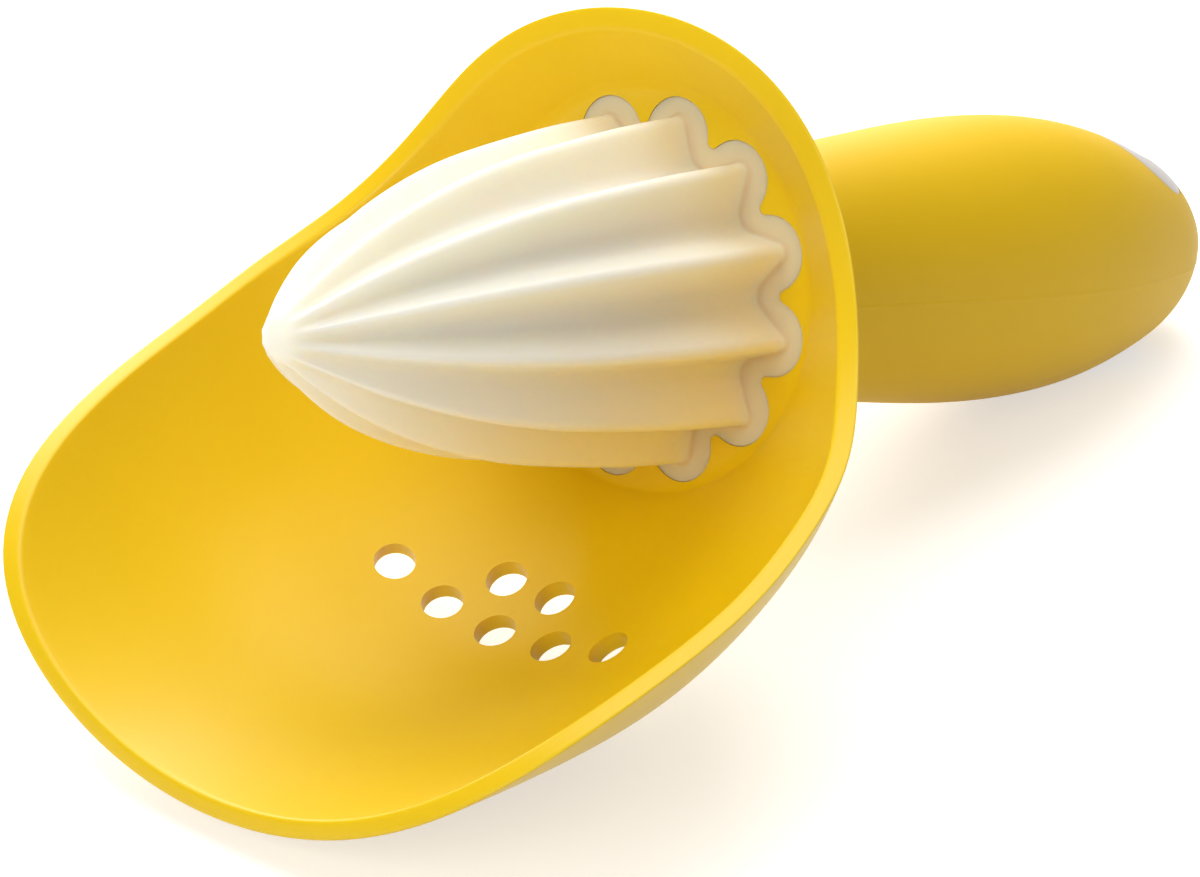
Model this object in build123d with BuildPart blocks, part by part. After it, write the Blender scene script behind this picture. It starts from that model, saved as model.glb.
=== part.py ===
from build123d import *
import os
from math import atan, cos, degrees, hypot, radians, sin

# Hand citrus reamer with a pip-catching scoop: a white fluted cone stands in front of a yellow
# scoop, and a white core runs back from both of them inside a soft yellow grip.
# Every piece is made in the tool's own frame: X along the tool towards the cone's tip, Z up,
# the origin in the middle of the flange's front face. The whole tool is then laid down the way
# it rests on a table, on the scoop's floor and the grip's belly. All lengths are millimetres.

os.makedirs("parts", exist_ok=True)

# Reamer cone: ribs, flutes, scalloped flange, and the socket and screw boss inside
cone_length = 60.0
rib_radius = 19.7
rib_count = 12
rib_turn = -3.2
tip_radius = 1.5
crest_round = 1.0
flute_round = 2.2
flute_depth = 5.3
cone_station_shares = (0.0, 0.17, 0.34, 0.50, 0.67, 0.83, 0.93, 0.98)
rib_shares = (1.0, 0.945, 0.885, 0.807, 0.680, 0.465, 0.265, 0.115)
lobe_reach = 21.7
lobe_radius = 4.2
notch_round = 0.7
foot_round = 1.2
flange_thickness = 1.6
socket_depth = 8.0
cavity_length = 46.0
cavity_shoulder_radius = 9.0
cavity_nose_radius = 3.4
boss_radius = 3.8

# Scoop: circles across the tool for its inner face, the wall, and the cut that leaves its rim
scoop_reach = 61.7
scoop_radius = 49.4
scoop_wall = 2.0
dish_radius = 22.0
dish_floor = 2.0
dish_back_radius = 20.0
dish_round = 3.0
scoop_rise = 2.75
bowl_station_shares = (0.0, 0.076, 0.203, 0.287, 0.405, 0.55, 0.71, 0.87, 1.0)
bowl_radius_shares = (0.0, 0.190, 0.471, 0.639, 0.774, 0.880, 0.942, 0.978, 1.0)
bowl_rise_shares = (0.0, 0.31, 0.64, 0.89, 1.0, 1.0, 1.0, 1.0, 1.0)
rim_crown = 30.9
rim_drop = 48.9
crown_reach = 4.7
rim_reach_shares = (-0.020, 0.0, 0.019, 0.042, 0.121, 0.274, 0.481, 0.753, 0.921, 0.984, 1.0)
rim_height_shares = (1.045, 0.985, 0.851, 0.744, 0.628, 0.516, 0.417, 0.305, 0.195, 0.091, -0.02)
rim_round = 0.6
recess_clearance = 0.1

# Drain holes, in two arcs across the foot of the scoop
drain_radius = 2.35
drain_step = 11.5
drain_lean = 34.0
near_drain_reach = 12.5
far_drain_reach = 17.65

# Seal under the flange
seal_inner_radius = 11.4
seal_width = 2.2
seal_thickness = 0.8

# Handle core: spigot with two keys, collar, tube and four fins inside the grip
spigot_radius = 9.2
spigot_wall = 3.0
key_width = 3.0
key_height = 1.2
fit_clearance = 0.1
tube_radius = 8.2
spigot_bore_radius = 6.4
core_bore_radius = 5.6
collar_radius = 10.8
collar_thickness = 2.5
fin_thickness = 3.0
fin_cover = 2.6

# Grip: a long bulb round an axis that droops a little
grip_length = 110.5
grip_radius = 17.65
neck_radius = 13.0
grip_droop = 1.6
grip_station_shares = (0.045, 0.10, 0.18, 0.34, 0.48, 0.60, 0.72, 0.81, 0.885, 0.945)
grip_radius_shares = (0.690, 0.727, 0.800, 0.909, 0.985, 1.0, 0.940, 0.833, 0.697, 0.512)
dome_run = 4.0
dome_radius = 5.8

# Hanging eye that plugs the core's open end
eye_tail_gap = 18.1
eye_length = 17.0
eye_width = 20.0
eye_bore_radius = 4.0
eye_lip = 1.2
plug_length = 12.0
plug_clearance = 0.05
core_end_gap = 0.3

# Clamp screw and its washer
screw_radius = 2.0
screw_length = 20.0
screw_head_radius = 3.9
screw_head_height = 2.6
screw_slot_width = 1.0
screw_slot_depth = 1.2
screw_tip_gap = 2.0
washer_radius = 4.8
washer_thickness = 0.8

overrun = 5.0

# Places along the tool that several pieces share
flange_back = -flange_thickness
scoop_back = flange_back - dish_floor
eye_reach = grip_length - eye_tail_gap
spigot_end = flange_back + socket_depth
spigot_bearing = spigot_end - spigot_wall
screw_seat = spigot_bearing - washer_thickness


def across(x):
    """Plane across the tool at x, with its own x towards +Y and its own y up."""
    return Plane.YZ.offset(x)


def spread(low, high, shares):
    """Values between low and high at the given shares of the way."""
    return [low + (high - low) * share for share in shares]


def polar(radius, angle):
    """Point at a radius and an angle in degrees."""
    return (radius * cos(radians(angle)), radius * sin(radians(angle)))


# Reamer cone

half_pitch = 180 / rib_count
rib_angles = [90 + rib_turn + 2 * half_pitch * turn for turn in range(rib_count)]


def rib_points(radius):
    """Corners of the star that the ribs' section is rounded from."""
    scale = radius / rib_radius
    points = []
    for angle in rib_angles:
        points.append(polar(radius + crest_round * scale, angle))
        points.append(polar(radius - flute_depth * scale, angle + half_pitch))
    return points


def scallop_points():
    """Points of one lobe and its notch: where they meet, the lobe's tip and the notch's foot."""
    lobe_centre = lobe_reach - lobe_radius
    rise = (lobe_radius + notch_round) ** 2 - (lobe_centre * sin(radians(half_pitch))) ** 2
    notch_centre = lobe_centre * cos(radians(half_pitch)) + rise ** 0.5
    lobe = Vector(lobe_centre, 0)
    notch = Vector(*polar(notch_centre, half_pitch))
    meeting = lobe + (notch - lobe) * (lobe_radius / (lobe_radius + notch_round))
    return hypot(meeting.X, meeting.Y), degrees(atan(meeting.Y / meeting.X)), notch_centre - notch_round


def flange_outline(margin):
    """Scalloped face of the flange, made larger all round by a margin."""
    reach, swing, foot = scallop_points()
    with BuildSketch() as outline:
        with BuildLine():
            for angle in rib_angles:
                ThreePointArc(polar(reach, angle - swing), polar(lobe_reach, angle),
                              polar(reach, angle + swing))
                ThreePointArc(polar(reach, angle + swing), polar(foot, angle + half_pitch),
                              polar(reach, angle + 2 * half_pitch - swing))
        make_face()
        if margin > 0:
            offset(amount=margin)
    return outline.sketch


cone_stations = spread(flange_back / 2, cone_length, cone_station_shares)
rib_radii = spread(0, rib_radius, rib_shares)

with BuildPart() as reamer_cone:
    for station, radius in zip(cone_stations, rib_radii):
        with BuildSketch(across(station)) as ribs:
            with BuildLine():
                Polyline(*rib_points(radius), close=True)
            make_face()
            rings = ribs.vertices().group_by(SortBy.DISTANCE)
            fillet(rings[-1], crest_round * radius / rib_radius)
            rings = ribs.vertices().group_by(SortBy.DISTANCE)
            fillet(rings[0], flute_round * radius / rib_radius)
    loft()
    with BuildSketch(Plane.XZ):
        with BuildLine():
            dome = (cone_length, 0)
            Polyline(dome, (cone_length - 2 * tip_radius, 0), (cone_length - 2 * tip_radius, tip_radius),
                     (cone_length - tip_radius, tip_radius))
            RadiusArc((cone_length - tip_radius, tip_radius), dome, tip_radius)
        make_face()
    revolve(axis=Axis.X)
    with BuildSketch(across(0)):
        add(flange_outline(0))
    extrude(amount=-flange_thickness)
    front_edges = reamer_cone.edges().filter_by_position(Axis.X, -fit_clearance, fit_clearance)
    outline_edges = reamer_cone.faces().filter_by(GeomType.CYLINDER).edges()
    fillet([edge for edge in front_edges if edge not in outline_edges], foot_round)
    with BuildSketch(Plane.XZ):
        with BuildLine():
            nose = (cavity_length, 0)
            Line((flange_back, 0), (flange_back, spigot_radius + fit_clearance))
            Line((flange_back, spigot_radius + fit_clearance), (spigot_end, spigot_radius + fit_clearance))
            Line((spigot_end, spigot_radius + fit_clearance), (spigot_end, cavity_shoulder_radius))
            shoulder = (cavity_length - cavity_nose_radius, cavity_nose_radius)
            Spline((spigot_end, cavity_shoulder_radius), shoulder, nose, tangents=((1, 0), (0, -1)))
            Line(nose, (flange_back, 0))
        make_face()
    revolve(axis=Axis.X, mode=Mode.SUBTRACT)
    with BuildSketch(across(flange_back)):
        Rectangle(2 * (spigot_radius + key_height + fit_clearance), key_width + 2 * fit_clearance)
    extrude(amount=socket_depth, mode=Mode.SUBTRACT)
    with BuildSketch(across(spigot_end)):
        Circle(boss_radius)
    extrude(amount=cavity_length - spigot_end)
    with BuildSketch(across(spigot_end)):
        Circle(screw_radius)
    extrude(amount=screw_seat + screw_length + screw_tip_gap - spigot_end, mode=Mode.SUBTRACT)

# Scoop

def wall_stations():
    """Stations of the scoop's inner face: place along the tool, rise of the centre, radius."""
    places = spread(0, scoop_reach, bowl_station_shares)
    rises = spread(0, scoop_rise, bowl_rise_shares)
    radii = spread(dish_radius, scoop_radius, bowl_radius_shares)
    slope = (radii[-1] - radii[-2]) / (places[-1] - places[-2])
    ahead = (scoop_reach + overrun, scoop_rise, scoop_radius + slope * overrun)
    return list(zip(places, rises, radii)) + [ahead]


def outer_stations(inner):
    """Stations of the outer face, one wall outside the inner ones, square to their line."""
    outer = [(scoop_back, 0, dish_back_radius)]
    for before, here, after in zip([inner[0]] + inner, inner, inner[1:] + [inner[-1]]):
        run = after[0] - before[0]
        climb = after[2] - before[2]
        shift = scoop_wall / hypot(run, climb)
        outer.append((here[0] - climb * shift, here[1], here[2] + run * shift))
    return outer


inner_stations = wall_stations()
shell_stations = outer_stations(inner_stations)
rim_line = list(zip(spread(crown_reach, scoop_reach, rim_reach_shares),
                    spread(-rim_drop, rim_crown, rim_height_shares)))
drain_places = [(far_drain_reach, step) for step in (-2, -1, 0, 1, 2)]
drain_places += [(near_drain_reach, step) for step in (-0.5, 0.5)]


def station_at(reach):
    """Centre's rise and inner radius of the scoop at a place along the tool, between stations."""
    for before, after in zip(inner_stations, inner_stations[1:]):
        if before[0] <= reach <= after[0]:
            share = (reach - before[0]) / (after[0] - before[0])
            return (before[1] + (after[1] - before[1]) * share, before[2] + (after[2] - before[2]) * share)
    return inner_stations[-1][1:]


with BuildPart() as pip_scoop:
    for place, rise, radius in shell_stations:
        with BuildSketch(across(place)):
            with Locations(Location((0, rise), 90)):
                Circle(radius)
    loft()
    for place, rise, radius in inner_stations:
        with BuildSketch(across(place)):
            with Locations(Location((0, rise), 90)):
                Circle(radius)
    loft(mode=Mode.SUBTRACT)
    fillet(pip_scoop.edges().filter_by_position(Axis.X, -recess_clearance, recess_clearance), dish_round)
    with BuildSketch(Plane.XZ.offset(-scoop_radius - 2 * overrun)):
        with BuildLine():
            above = (0, scoop_radius + 2 * overrun)
            below = (scoop_reach, -scoop_radius - 2 * overrun)
            ahead = scoop_reach + 3 * overrun
            rim_curve = Spline(*rim_line)
            Line(rim_curve @ 0, above)
            Polyline(above, (ahead, above[1]), (ahead, below[1]), below, rim_curve @ 1)
        make_face()
    extrude(amount=2 * (scoop_radius + 2 * overrun), mode=Mode.SUBTRACT)
    fillet(pip_scoop.faces().filter_by(GeomType.EXTRUSION).edges(), rim_round)
    with BuildSketch(across(flange_back)):
        add(flange_outline(recess_clearance))
    extrude(amount=-flange_back + overrun, mode=Mode.SUBTRACT)
    with BuildSketch(across(scoop_back)):
        Circle(spigot_radius + fit_clearance)
        Rectangle(2 * (spigot_radius + key_height + fit_clearance), key_width + 2 * fit_clearance)
    extrude(amount=dish_floor, mode=Mode.SUBTRACT)
    with BuildSketch(across(flange_back)):
        Circle(seal_inner_radius + seal_width)
        Circle(seal_inner_radius, mode=Mode.SUBTRACT)
    extrude(amount=-seal_thickness, mode=Mode.SUBTRACT)
    for reach, step in drain_places:
        rise, radius = station_at(reach)
        turn = radians(step * drain_step)
        lean = radians(drain_lean)
        foot = (reach, radius * sin(turn), rise - radius * cos(turn))
        outwards = (-sin(lean), cos(lean) * sin(turn), -cos(lean) * cos(turn))
        with BuildSketch(Plane(origin=foot, z_dir=outwards)):
            Circle(drain_radius)
        extrude(amount=2 * scoop_wall, both=True, mode=Mode.SUBTRACT)

# Seal

with BuildPart() as juice_seal:
    with BuildSketch(across(flange_back)):
        Circle(seal_inner_radius + seal_width - fit_clearance)
        Circle(seal_inner_radius + fit_clearance, mode=Mode.SUBTRACT)
    extrude(amount=-seal_thickness)

# Handle: everything behind the scoop follows the grip's axis, which droops a little

back_along = Vector(-cos(radians(grip_droop)), 0, -sin(radians(grip_droop)))
grip_side = Plane(origin=(scoop_back, 0, 0), x_dir=back_along, z_dir=(0, 1, 0))
grip_axis = Axis(grip_side.origin, back_along)
core_length = eye_reach - eye_length / 2 - core_end_gap


def round_grip(distance):
    """Plane square to the grip's axis at a distance behind the scoop, facing back."""
    return Plane(origin=grip_side.origin + back_along * distance, x_dir=(0, 1, 0), z_dir=back_along)


def grip_half(inset):
    """Half of the grip's long section, drawn in by an inset, and run on into the scoop."""
    stations = spread(0, grip_length, grip_station_shares)
    radii = spread(0, grip_radius, grip_radius_shares)
    skin = [(0, neck_radius - inset)] + [(place, radius - inset) for place, radius in zip(stations, radii)]
    tail = (grip_length - inset, 0)
    with BuildSketch(grip_side) as half:
        with BuildLine():
            flank = Spline(*skin)
            heel = flank @ 1
            Bezier(heel, heel + (flank % 1) * dome_run, (grip_length - inset, dome_radius - inset), tail)
            Polyline(flank @ 0, (-overrun, neck_radius - inset), (-overrun, 0), tail)
        make_face()
    return half.sketch


with BuildPart() as handle_core:
    add(grip_half(fin_cover))
    revolve(axis=grip_axis)
    with BuildSketch(round_grip(-overrun)):
        Rectangle(2 * grip_radius, 2 * grip_radius)
        Rectangle(2 * grip_radius, fin_thickness, mode=Mode.SUBTRACT)
        Rectangle(fin_thickness, 2 * grip_radius, mode=Mode.SUBTRACT)
        Circle(tube_radius, mode=Mode.SUBTRACT)
    extrude(amount=grip_length + overrun, mode=Mode.SUBTRACT)
    with BuildSketch(round_grip(core_length)):
        Circle(grip_radius)
    extrude(amount=grip_length - core_length, mode=Mode.SUBTRACT)
    with BuildSketch(across(scoop_back)):
        Circle(grip_radius)
    extrude(amount=2 * overrun, mode=Mode.SUBTRACT)
    with BuildSketch(across(scoop_back)):
        Circle(collar_radius)
    extrude(amount=-collar_thickness)
    with BuildSketch(across(scoop_back)):
        Circle(spigot_radius)
        Rectangle(2 * (spigot_radius + key_height), key_width)
    extrude(amount=spigot_end - scoop_back)
    core_envelope = handle_core.part
    with BuildSketch(round_grip(0)):
        Circle(core_bore_radius)
    extrude(amount=grip_length, mode=Mode.SUBTRACT)
    with BuildSketch(across(scoop_back - collar_thickness)):
        Circle(spigot_bore_radius)
    extrude(amount=spigot_bearing - scoop_back + collar_thickness, mode=Mode.SUBTRACT)
    with BuildSketch(across(spigot_bearing)):
        Circle(screw_radius + fit_clearance)
    extrude(amount=spigot_wall, mode=Mode.SUBTRACT)

with BuildPart() as hang_eye:
    eye_middle = Plane(origin=round_grip(eye_reach).origin, x_dir=back_along, z_dir=grip_side.y_dir)
    with BuildSketch(eye_middle):
        Ellipse(eye_length / 2, eye_width / 2)
    extrude(amount=grip_radius, both=True)
    with BuildSketch(round_grip(core_length - plug_length)):
        Circle(core_bore_radius - plug_clearance)
    extrude(amount=plug_length + eye_length / 2)
    with BuildPart(mode=Mode.PRIVATE) as skin:
        add(grip_half(0))
        revolve(axis=grip_axis)
    add(skin.part, mode=Mode.INTERSECT)
    eye_envelope = hang_eye.part
    with BuildSketch(eye_middle):
        Circle(eye_bore_radius)
    extrude(amount=grip_radius, both=True, mode=Mode.SUBTRACT)
    fillet(hang_eye.faces().filter_by(GeomType.CYLINDER).sort_by(SortBy.AREA)[-1].edges(), eye_lip)

with BuildPart() as grip_sleeve:
    add(grip_half(0))
    revolve(axis=grip_axis)
    with BuildSketch(across(scoop_back)):
        Circle(grip_radius)
    extrude(amount=2 * overrun, mode=Mode.SUBTRACT)
    add(core_envelope, mode=Mode.SUBTRACT)
    add(eye_envelope, mode=Mode.SUBTRACT)

with BuildPart() as clamp_washer:
    with BuildSketch(across(spigot_bearing)):
        Circle(washer_radius)
        Circle(screw_radius + fit_clearance, mode=Mode.SUBTRACT)
    extrude(amount=-washer_thickness)

with BuildPart() as clamp_screw:
    with BuildSketch(across(screw_seat)):
        Circle(screw_radius)
    extrude(amount=screw_length)
    with BuildSketch(across(screw_seat)):
        Circle(screw_head_radius)
    extrude(amount=-screw_head_height)
    with BuildSketch(across(screw_seat - screw_head_height)):
        Rectangle(2 * screw_head_radius, screw_slot_width)
    extrude(amount=screw_slot_depth, mode=Mode.SUBTRACT)

pieces = {
    "reamer_cone": reamer_cone,
    "juice_seal": juice_seal,
    "pip_scoop": pip_scoop,
    "handle_core": handle_core,
    "grip_sleeve": grip_sleeve,
    "hang_eye": hang_eye,
    "clamp_washer": clamp_washer,
    "clamp_screw": clamp_screw,
}

# Rest pose: the line that touches the scoop's floor and the grip's belly from below is laid level,
# and the origin goes under the middle of the whole tool

belly = [round_grip(grip_length * share).origin - grip_side.y_dir * grip_radius * radius_share
         for share, radius_share in zip(grip_station_shares, grip_radius_shares)]
floor = [(place, rise - radius) for place, rise, radius in shell_stations if place < scoop_reach]
nose_up = degrees(atan(min(max((low.Z - height) / (place - low.X) for place, height in floor)
                           for low in belly)))
tilted = Location((0, 0, 0), (0, -nose_up, 0))
boxes = [piece.part.moved(tilted).bounding_box() for piece in pieces.values()]
middle = (min(box.min.X for box in boxes) + max(box.max.X for box in boxes)) / 2
resting = Location((-middle, 0, -min(box.min.Z for box in boxes))) * tilted

for name, piece in pieces.items():
    piece.part.label = name
    piece.part.move(resting)
    export_step(piece.part, f"parts/{name}.step")
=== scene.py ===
"""Hand citrus reamer: an ivory fluted cone in a yellow pip-catching scoop, on a soft yellow grip.

The skins are drawn in the tool's own frame, with X along the tool towards the cone's tip and Z up,
and then laid down the way the tool rests on a table.
"""
from math import atan2, cos, hypot, pi, radians, sin, sqrt, tan

import bmesh
import bpy
import numpy as np
from bpy.props import FloatProperty, FloatVectorProperty, IntProperty, PointerProperty
from mathutils import Matrix, Vector


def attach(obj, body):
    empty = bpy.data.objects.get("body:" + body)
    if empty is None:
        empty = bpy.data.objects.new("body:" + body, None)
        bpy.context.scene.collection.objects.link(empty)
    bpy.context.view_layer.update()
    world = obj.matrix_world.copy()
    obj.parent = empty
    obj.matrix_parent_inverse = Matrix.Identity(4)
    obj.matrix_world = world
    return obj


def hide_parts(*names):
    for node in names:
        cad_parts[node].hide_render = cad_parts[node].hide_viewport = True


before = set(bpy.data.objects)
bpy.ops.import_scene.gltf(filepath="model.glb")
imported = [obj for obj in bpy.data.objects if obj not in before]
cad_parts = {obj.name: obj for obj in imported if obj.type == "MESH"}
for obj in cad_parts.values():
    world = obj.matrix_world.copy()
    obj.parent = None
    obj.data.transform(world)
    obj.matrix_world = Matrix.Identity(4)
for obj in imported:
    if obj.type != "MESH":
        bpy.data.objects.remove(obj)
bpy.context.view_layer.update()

bl_info = {
    "name": "Citrus reamer",
    "version": (1, 0, 0),
    "blender": (4, 5, 0),
    "location": "3D View > Sidebar > Reamer",
    "description": "Builds a hand citrus reamer with a scoop and a soft grip",
    "category": "Object",
}

# Outlines, as shares of the sizes that they follow
CONE_STATION_SHARES = (0.0, 0.17, 0.34, 0.50, 0.67, 0.83, 0.93, 0.98)
RIB_SHARES = (1.0, 0.962, 0.898, 0.817, 0.669, 0.451, 0.251, 0.137)
NUB_SHARE = 0.94
BOWL_STATION_SHARES = (0.0, 0.076, 0.203, 0.287, 0.405, 0.55, 0.71, 0.87, 1.0)
BOWL_RADIUS_SHARES = (0.0, 0.190, 0.471, 0.639, 0.774, 0.880, 0.942, 0.978, 1.0)
BOWL_RISE_SHARES = (0.0, 0.31, 0.64, 0.89, 1.0, 1.0, 1.0, 1.0, 1.0)
RIM_REACH_SHARES = (-0.020, 0.0, 0.019, 0.042, 0.121, 0.274, 0.481, 0.753, 0.921, 0.984, 1.0)
RIM_HEIGHT_SHARES = (1.045, 0.985, 0.851, 0.744, 0.628, 0.516, 0.417, 0.305, 0.195, 0.091, -0.02)
GRIP_STATION_SHARES = (0.045, 0.10, 0.18, 0.34, 0.48, 0.60, 0.72, 0.81, 0.885, 0.945)
GRIP_RADIUS_SHARES = (0.690, 0.727, 0.800, 0.909, 0.985, 1.0, 0.940, 0.833, 0.697, 0.512)

# Photograph's width and the focal length that fits it, both in pixels
PHOTO_WIDTH = 1200
PHOTO_FOCAL = 3500

# Steps that slopes are taken over: one in metres, and one as a share of the grip's length
NUDGE = 0.00005
SLOPE_SHARE = 0.001

# Points nearer than this are one point, and the circle that a skin starts from, both in metres
SAME_POINT = 1e-6
FIRST_CIRCLE = 0.01

# Points round each form
CREST_POINTS = 7
FLUTE_POINTS = 9
LOBE_POINTS = 10
SCOOP_POINTS = 264
DRAIN_POINTS = 64
GRIP_POINTS = 144
EYE_POINTS = 160
EYE_PLACE_POINTS = 128

# Rings along each form, or steps of a round
NOTCH_STEPS = 3
NOSE_RINGS = 9
RIB_RINGS = 60
FOOT_RINGS = 6
CAVITY_RINGS = 12
DISH_RINGS = 6
WALL_RINGS = 60
RIM_STEPS = 5
GRIP_RINGS = 90
TAIL_STEPS = 24
LIP_STEPS = 6
TOP_STEPS = 12
EDGE_STEPS = 4

# Extra points on a rib's flank, and extra rings on the dish inside its edge, as shares of the way
FLANK_SHARES = (0.25, 0.5, 0.75)
DISH_SHARES = (0.0, 0.4, 0.8)

# Edge of the scoop's back: shares of the back's depth and of the wall
BACK_EDGE = ((0.75, 0.95), (0.93, 0.45))

# Rim: how far its search goes past the lip, in reaches, and how often it is halved
RIM_SEARCH = 1.06
RIM_HALVINGS = 30

# Rim's rounds: where they take their way from and where the wall's rings end, both in rounds, and
# how strongly the corner pulls
RIM_WAY = 1.5
RIM_START = 1.1
CORNER_PULL = 1.35

# Drain holes of the two rows, in steps from the middle
FAR_DRAINS = (-2, -1, 0, 1, 2)
NEAR_DRAINS = (-0.5, 0.5)

# Length of the recess's cutter in flange thicknesses, and of a drain hole's cutter in walls
RECESS_CUT = 3
DRAIN_CUT = 5

# Parting line across the grip: places in half widths, with shares of its height
SEAM_REACH = 2.2
SEAM_PROFILE = ((-SEAM_REACH, 0), (-1, 0), (-0.5, 0.8), (0, 1), (0.5, 0.8), (1, 0), (SEAM_REACH, 0))

# Edges that turn by more than this stay sharp
CONE_SHARP = radians(40)
SCOOP_SHARP = radians(35)
GRIP_SHARP = radians(30)

# Where the flange's tan turns to ivory, in metres in front of the flange's face
TAN_END = 0.0001
IVORY_START = 0.0007

# Looks: scale, detail and strength of the faint clouds in the colour, size in metres and strength of
# the grain, and what the surface is set to
IVORY_LOOK = (90.0, 2.0, 0.015, 0.0009, 0.05,
              {"Roughness": 0.36, "Specular IOR Level": 0.35, "Subsurface Weight": 0.9,
               "Subsurface Radius": (1.0, 0.85, 0.6), "Subsurface Scale": 0.0035})
EYE_LOOK = (120.0, 2.0, 0.02, 0.0008, 0.05, {"Roughness": 0.35})
SCOOP_LOOK = (40.0, 2.0, 0.02, 0.0007, 0.06,
              {"Roughness": 0.38, "Specular IOR Level": 0.36, "Subsurface Weight": 0.15,
               "Subsurface Radius": (1.0, 0.6, 0.05), "Subsurface Scale": 0.002})
GRIP_LOOK = (55.0, 3.0, 0.03, 0.0004, 0.1, {"Roughness": 0.55, "Specular IOR Level": 0.25})
CORE_LOOK = (200.0, 2.0, 0.04, 0.0008, 0.1, {"Roughness": 0.4})
SEAL_LOOK = (200.0, 2.0, 0.04, 0.0005, 0.1, {"Roughness": 0.5})
WASHER_LOOK = (200.0, 2.0, 0.04, 0.0003, 0.1, {"Roughness": 0.3, "Metallic": 1.0})
SCREW_LOOK = (200.0, 2.0, 0.04, 0.0003, 0.1, {"Roughness": 0.25, "Metallic": 1.0})
TABLE_LOOK = (8.0, 3.0, 0.005, None, None, {"Roughness": 0.9})

# Lamps: name, place, the point that they face, width, height and power in watts
LAMPS = (
    ("top_lamp", (-0.16, -0.28, 1.04), (0, 0, 0.03), 1.1, 1.1, 11.2),
    ("back_lamp", (-0.56, -0.80, 0.54), (0, 0, 0.03), 0.9, 0.5, 8.8),
    ("front_lamp", (1.02, 0.14, 0.55), (0.03, 0, 0.03), 0.8, 0.6, 5.4),
)


def length(label, says, value):
    """A length in metres that a user may change."""
    return FloatProperty(name=label, description=says, default=value, min=0.0, unit="LENGTH", precision=5)


def angle(label, says, degrees):
    """An angle that a user may change."""
    return FloatProperty(name=label, description=says, default=radians(degrees), unit="ROTATION")


def number(label, says, value):
    """A plain number that a user may change."""
    return FloatProperty(name=label, description=says, default=value, min=0.0)


def colour(label, says, value):
    """A colour that a user may change, in linear light."""
    return FloatVectorProperty(name=label, description=says, default=value, size=3, min=0.0, max=1.0,
                               subtype="COLOR")


class RestSizes(bpy.types.PropertyGroup):
    """How the tool lies on the table."""
    nose_up: angle("Nose up", "Tilt of the tool at rest, tip up", 12.5645)
    flange_along: length("Flange along", "Middle of the flange's face, along the table", 0.0201938)
    flange_height: length("Flange height", "Middle of the flange's face, above the table", 0.0369521)


class ConeSizes(bpy.types.PropertyGroup):
    """Sizes of the ribbed cone and its flange."""
    cone_length: length("Cone length", "From the flange's face to the tip", 0.0589)
    rib_radius: length("Rib radius", "Out to the ribs' crests at the foot", 0.0197)
    rib_count: IntProperty(name="Ribs", description="Number of ribs round the cone", default=12, min=3)
    rib_turn: angle("Rib turn", "Turn of the ribs from the upright", -3.2)
    tip_fade: length("Tip fade", "Length over which the ribs die out at the tip", 0.0042)
    crest_round: length("Crest round", "Rounding of a rib's crest at the foot", 0.0010)
    flute_round: length("Flute round", "Rounding of a flute's bottom at the foot", 0.0022)
    flute_depth: length("Flute depth", "From the crests' circle to the flutes' corners", 0.0053)
    lobe_reach: length("Lobe reach", "Out to the tips of the flange's lobes", 0.0217)
    lobe_radius: length("Lobe radius", "Rounding of a lobe", 0.0042)
    notch_round: length("Notch round", "Rounding between two lobes", 0.0007)
    foot_round: length("Foot round", "Rounding where the ribs meet the flange", 0.0006)
    flange_thickness: length("Flange thickness", "Thickness of the flange", 0.0016)
    edge_round: length("Edge round", "Rounding of the flange's front edge", 0.00012)
    socket_depth: length("Socket depth", "Depth of the socket for the spigot", 0.0080)
    socket_radius: length("Socket radius", "Radius of the socket", 0.0093)
    cavity_length: length("Cavity length", "From the flange's face to the cavity's end", 0.0460)
    cavity_shoulder: length("Cavity shoulder", "Cavity's radius at the socket's end", 0.0090)
    boss_radius: length("Boss radius", "Radius of the screw boss", 0.0038)
    screw_hole_radius: length("Screw hole radius", "Radius of the boss's hole", 0.0020)
    screw_hole_end: length("Screw hole end", "From the flange's face to the hole's end", 0.0246)


class ScoopSizes(bpy.types.PropertyGroup):
    """Sizes of the scoop, its rim and its drain holes."""
    reach: length("Reach", "From the flange's face to the lip", 0.0617)
    lip_radius: length("Lip radius", "Inner radius at the lip", 0.0494)
    dish_radius: length("Dish radius", "Radius of the flat dish round the cone", 0.0220)
    dish_round: length("Dish round", "Rounding where the dish turns into the wall", 0.0030)
    wall: length("Wall", "Thickness of the wall", 0.0020)
    rim_round: length("Rim round", "Rounding of the rim's two edges", 0.0006)
    back_radius: length("Back radius", "Radius of the flat back", 0.0200)
    back_depth: length("Back depth", "From the dish to the flat back", 0.0036)
    rise: length("Rise", "How far the wall's middle rises above the cone's axis", 0.00275)
    crown_height: length("Crown height", "Top of the rim above the cone's axis", 0.0309)
    lip_drop: length("Lip drop", "Bottom of the rim below the cone's axis", 0.0489)
    crown_reach: length("Crown reach", "Top of the rim in front of the dish", 0.0047)
    recess_clearance: length("Recess clearance", "Gap round the flange in its recess", 0.00001)
    drain_radius: length("Drain radius", "Radius of a drain hole", 0.00235)
    drain_step: angle("Drain step", "Angle between two drain holes of a row", 11.5)
    drain_lean: angle("Drain lean", "Lean of the drain holes from the upright", 34.0)
    near_drain_reach: length("Near drains", "Row of two holes, in front of the dish", 0.0125)
    far_drain_reach: length("Far drains", "Row of five holes, in front of the dish", 0.01765)


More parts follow.
